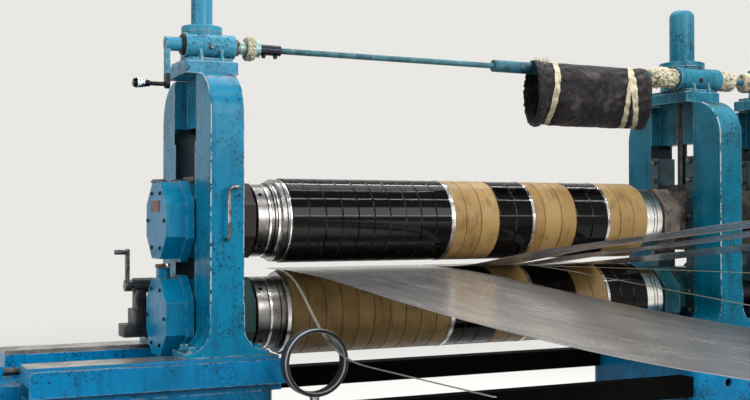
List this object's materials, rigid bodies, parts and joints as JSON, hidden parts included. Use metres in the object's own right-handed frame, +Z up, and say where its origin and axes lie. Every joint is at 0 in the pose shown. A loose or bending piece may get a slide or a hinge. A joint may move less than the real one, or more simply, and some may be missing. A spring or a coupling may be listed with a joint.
{
  "type": "coil slitter",
  "caption": "Coil slitter with two arbors of rings and knives in three arch housings, screw jacks, a hand crank and strips running through.",
  "frame": {"origin": "on the floor, midway between the outer anchor holes", "axes": "+X along the arbors towards the drive end, +Y against the strip's exit, +Z up"},
  "size_m": [3.7, 2.785, 2.055],
  "materials": {
    "blue_paint": "semi-gloss, chipped",
    "polished_steel": "polished",
    "way_steel": "ground",
    "black_ring": "glossy",
    "tan_ring": "satin",
    "knife_steel": "ground",
    "strip_steel": "rolled",
    "rail_black": "gloss",
    "dark_iron": "dark",
    "liner_iron": "worn",
    "rod_grey": "dull",
    "sleeve_black": "matt coated cloth",
    "cream_tape": "matt",
    "grip_chrome": "polished",
    "coupling_steel": "worn"
  },
  "bodies": {
    "frame": {"outboard_base": "blue_paint", "outboard_bed": "blue_paint", "bed_ways": "way_steel", "traverse_screw": "dark_iron", "inboard_base": "blue_paint", "inboard_bed": "blue_paint", "tie_rails": "rail_black", "inboard_housing": "blue_paint", "drive_housing": "blue_paint", "inboard_caps": "blue_paint", "inboard_jacks": "blue_paint", "inboard_screw_covers": "blue_paint", "inboard_liners": "liner_iron", "inboard_lower_chocks": "blue_paint", "shaft_sleeve": "sleeve_black", "scrap_guide_ring": "dark_iron", "wide_strip": "strip_steel", "narrow_strips": "strip_steel", "edge_trims": "strip_steel"},
    "outboard_stand": {"outboard_housing": "blue_paint", "outboard_cap": "blue_paint", "outboard_jack": "blue_paint", "outboard_screw_cover": "blue_paint", "outboard_liners": "liner_iron", "outboard_lower_chock": "blue_paint", "pull_handle": "polished_steel", "traverse_gearbox": "dark_iron"},
    "outboard_chock": {"outboard_upper_chock": "blue_paint", "outboard_screw": "way_steel"},
    "inboard_chocks": {"inboard_upper_chocks": "liner_iron", "inboard_screws": "way_steel"},
    "upper_arbor": {"upper_shaft": "polished_steel", "upper_nut": "polished_steel", "upper_black_rings": "black_ring", "upper_tan_rings": "tan_ring", "upper_knives": "knife_steel"},
    "lower_arbor": {"lower_shaft": "polished_steel", "lower_nut": "polished_steel", "lower_black_rings": "black_ring", "lower_tan_rings": "tan_ring", "lower_knives": "knife_steel"},
    "cross_shaft": {"crank_arm": "blue_paint", "cross_rod": "rod_grey", "jaw_coupling": "coupling_steel"},
    "grip": {"crank_grip": "grip_chrome"},
    "drive_shaft": {"drive_tube": "blue_paint", "taped_couplings": "cream_tape"},
    "traverse_handle": {"traverse_crank": "way_steel"}
  },
  "joints": [
    {"name": "stand_traverse", "type": "slide", "parent": "frame", "child": "outboard_stand", "axis": [-1, 0, 0], "range_m": [0, 0.3]},
    {"name": "inboard_lift", "type": "slide", "parent": "frame", "child": "inboard_chocks", "axis": [0, 0, 1], "range_m": [-0.014, 0.06]},
    {"name": "outboard_lift", "type": "slide", "parent": "outboard_stand", "child": "outboard_chock", "axis": [0, 0, 1], "range_m": [-0.014, 0.06]},
    {"name": "upper_arbor_turn", "type": "hinge", "parent": "inboard_chocks", "child": "upper_arbor", "pos_m": [1.104, 0, 1.144], "axis": [1, 0, 0], "continuous": true},
    {"name": "lower_arbor_turn", "type": "hinge", "parent": "frame", "child": "lower_arbor", "pos_m": [1.104, 0, 0.814], "axis": [1, 0, 0], "continuous": true},
    {"name": "drive_shaft_turn", "type": "hinge", "parent": "frame", "child": "drive_shaft", "pos_m": [1.104, -0.074, 1.747], "axis": [1, 0, 0], "continuous": true},
    {"name": "crank_turn", "type": "hinge", "parent": "outboard_stand", "child": "cross_shaft", "pos_m": [-1.056, -0.074, 1.747], "axis": [1, 0, 0], "continuous": true},
    {"name": "grip_spin", "type": "hinge", "parent": "cross_shaft", "child": "grip", "pos_m": [-1.28, -0.074, 1.608], "axis": [1, 0, 0], "continuous": true},
    {"name": "traverse_crank_turn", "type": "hinge", "parent": "outboard_stand", "child": "traverse_handle", "pos_m": [-1.2, 0.215, 0.91], "axis": [1, 0, 0], "continuous": true}
  ],
  "couplings": [
    {"joint": "outboard_lift", "follows": "inboard_lift", "ratio": 1},
    {"joint": "crank_turn", "follows": "drive_shaft_turn", "ratio": 1}
  ]
}
